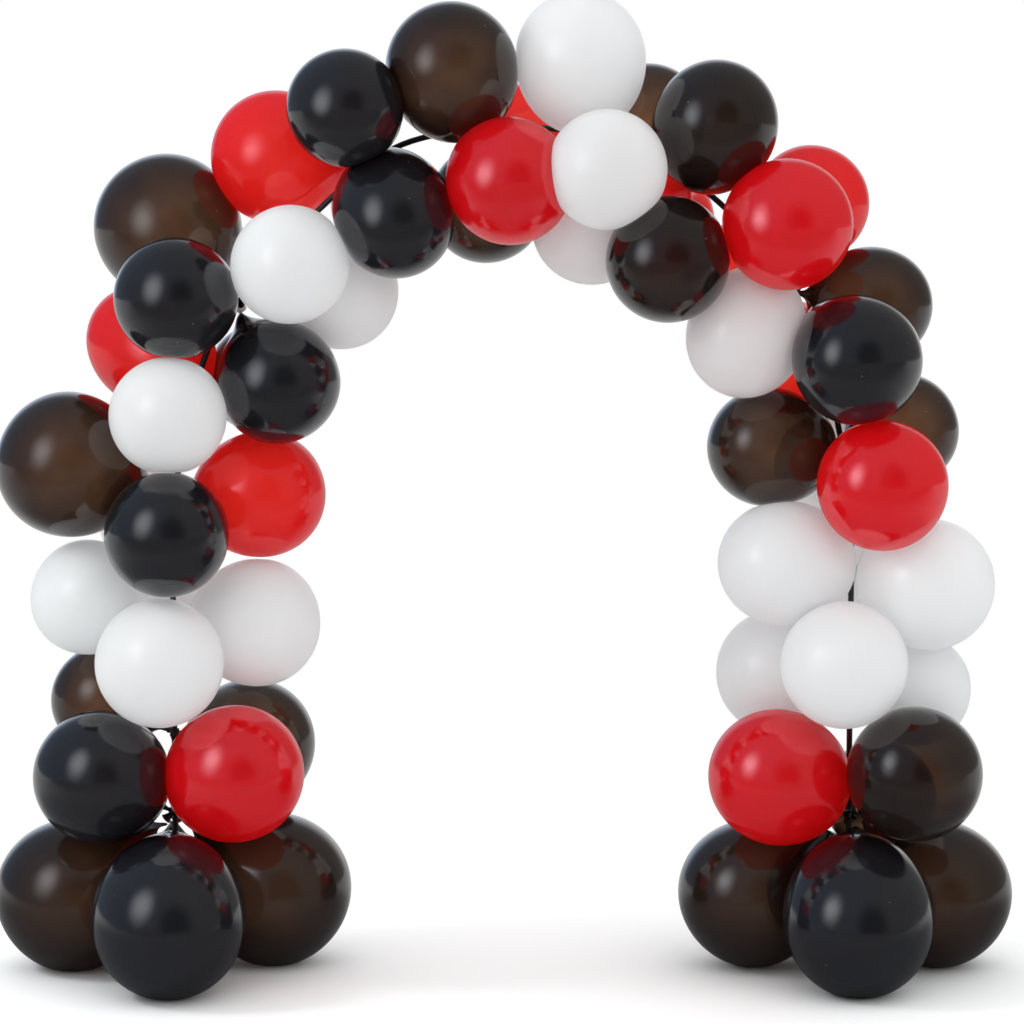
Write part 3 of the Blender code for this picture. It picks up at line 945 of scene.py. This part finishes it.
class ARCH_OT_balloons(bpy.types.Operator):
    """Blow up every balloon in its place, with its neck, knot and loose end"""

    bl_idname = "arch.balloons"
    bl_label = "Balloons"

    def execute(self, context):
        sizes = context.scene.arch_sizes
        look = context.scene.arch_latex
        finishes = {
            kind: latex_material(latex, tuple(getattr(look, kind)), look.roughness + latex.rougher)
            for kind, latex in LATEX_KINDS.items()}
        for index, body in enumerate(place_bodies()):
            shape = bmesh.new()
            thin = shape.verts.layers.float.new("thinness")
            outline, knot_at = envelope_outline(body, sizes)
            points = spin_profile(shape, outline, sizes.sides)
            for vert in points:
                vert[thin] = film_thinness_and_backlight(body, vert.co.z)
            put(shape, points, body.axis, body.centre)
            press_points(points, body, sizes.press_blend)
            solid = solid_of(body)
            check_fit(points, body, solid)
            knot_place = body.centre - body.axis * knot_at
            knot = spin_profile(shape, knot_outline(sizes), KNOT_SIDES)
            put(shape, knot, body.axis, knot_place)
            tail = spin_profile(shape, tail_outline(sizes), TAIL_SIDES)
            put(shape, tail, tail_direction(body, index), knot_place)
            # Black balloons stretched past the mark get the smoky film: painted backlight.
            smoky = body.colour == "black" and stretch_for_backlight_of(body) > SMOKY_BACKLIGHT
            item = finish_piece(shape, "envelope_{:02d}_{}".format(body.cluster, body.place),
                                finishes["smoke" if smoky else body.colour])
            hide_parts(solid)
        return {"FINISHED"}


class ARCH_OT_pole(bpy.types.Operator):
    """Bend the pole and stand it on the floor"""

    bl_idname = "arch.pole"
    bl_label = "Pole"

    def execute(self, context):
        shape = bmesh.new()
        loft_tube(shape, pole_route(BAR_LEG_STEPS, BAR_ARCH_STEPS), POLE_RADIUS, POLE_SIDES)
        item = finish_piece(shape, "bent_pole",
                            pole_material(tuple(context.scene.arch_pole.colour)))
        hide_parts("pole")
        return {"FINISHED"}


class ARCH_OT_ties(bpy.types.Operator):
    """Wind a strip of black latex round the pole at every cluster"""

    bl_idname = "arch.ties"
    bl_label = "Ties"

    def execute(self, context):
        look = context.scene.arch_latex
        shape = bmesh.new()
        route = pole_route(LEG_STEPS, ROUTE_STEPS)
        for _, knot, _ in CLUSTERS:
            wind_tie(shape, *pole_station(route, knot * MM), context.scene.arch_pole)
        finish_piece(shape, "cluster_ties", tie_material(tuple(look.black)))
        return {"FINISHED"}


class ARCH_OT_stage(bpy.types.Operator):
    """Lay the floor, hang the lights and set up the camera"""

    bl_idname = "arch.stage"
    bl_label = "Stage"

    def execute(self, context):
        look = context.scene.arch_stage
        make_world(context.scene)
        shape = bmesh.new()
        bmesh.ops.create_grid(shape, x_segments=2, y_segments=2, size=FLOOR_REACH)
        mesh = bpy.data.meshes.new("floor")
        shape.to_mesh(mesh)
        shape.free()
        mesh.materials.append(floor_material(tuple(look.floor)))
        floor = bpy.data.objects.new("floor", mesh)
        context.scene.collection.objects.link(floor)
        # The key lights the film and throws the shadows; the others are only seen in the gloss.
        key = soft_light("key softbox", KEY_PLACE, KEY_SIZE, look.key_power, KEY_COLOUR)
        key.visible_glossy = False
        for name, size, part in SHINE_LIGHTS:
            shine = soft_light(name, SHINE_PLACE, size, part * look.shine_power, SHINE_COLOUR)
            shine.visible_diffuse = False
            shine.visible_transmission = False
        camera = bpy.data.cameras.new("camera")
        camera.lens = LENS
        item = bpy.data.objects.new("camera", camera)
        item.location = EYE
        item.rotation_euler = (MIDDLE - EYE).to_track_quat("-Z", "Y").to_euler()
        context.scene.collection.objects.link(item)
        context.scene.camera = item
        context.scene.view_settings.view_transform = "Standard"
        return {"FINISHED"}


class ARCH_PT_panel(bpy.types.Panel):
    """Sidebar panel with the arch's pieces and settings."""

    bl_idname = "ARCH_PT_panel"
    bl_label = "Balloon arch"
    bl_space_type = "VIEW_3D"
    bl_region_type = "UI"
    bl_category = "Balloon arch"

    def draw(self, context):
        for group in (context.scene.arch_sizes, context.scene.arch_latex,
                      context.scene.arch_pole, context.scene.arch_stage):
            box = self.layout.box()
            for name in group.__annotations__:
                box.prop(group, name)
        for operator in OPERATORS:
            self.layout.operator(operator.bl_idname)


OPERATORS = (ARCH_OT_balloons, ARCH_OT_pole, ARCH_OT_ties, ARCH_OT_stage)
GROUPS = {"arch_sizes": EnvelopeSizes, "arch_latex": LatexLook, "arch_pole": PoleLook,
          "arch_stage": StageLook}


def register():
    """Register the classes and hang their settings on the scene."""
    for kind in (*GROUPS.values(), *OPERATORS, ARCH_PT_panel):
        bpy.utils.register_class(kind)
    for name, group in GROUPS.items():
        setattr(bpy.types.Scene, name, bpy.props.PointerProperty(type=group))


def unregister():
    """Take the settings and the classes away again."""
    for name in GROUPS:
        delattr(bpy.types.Scene, name)
    for kind in (ARCH_PT_panel, *reversed(OPERATORS), *GROUPS.values()):
        bpy.utils.unregister_class(kind)


def main():
    """Make every piece in order."""
    register()
    bpy.ops.arch.balloons()
    bpy.ops.arch.pole()
    bpy.ops.arch.ties()
    bpy.ops.arch.stage()


if __name__ == "__main__":
    main()
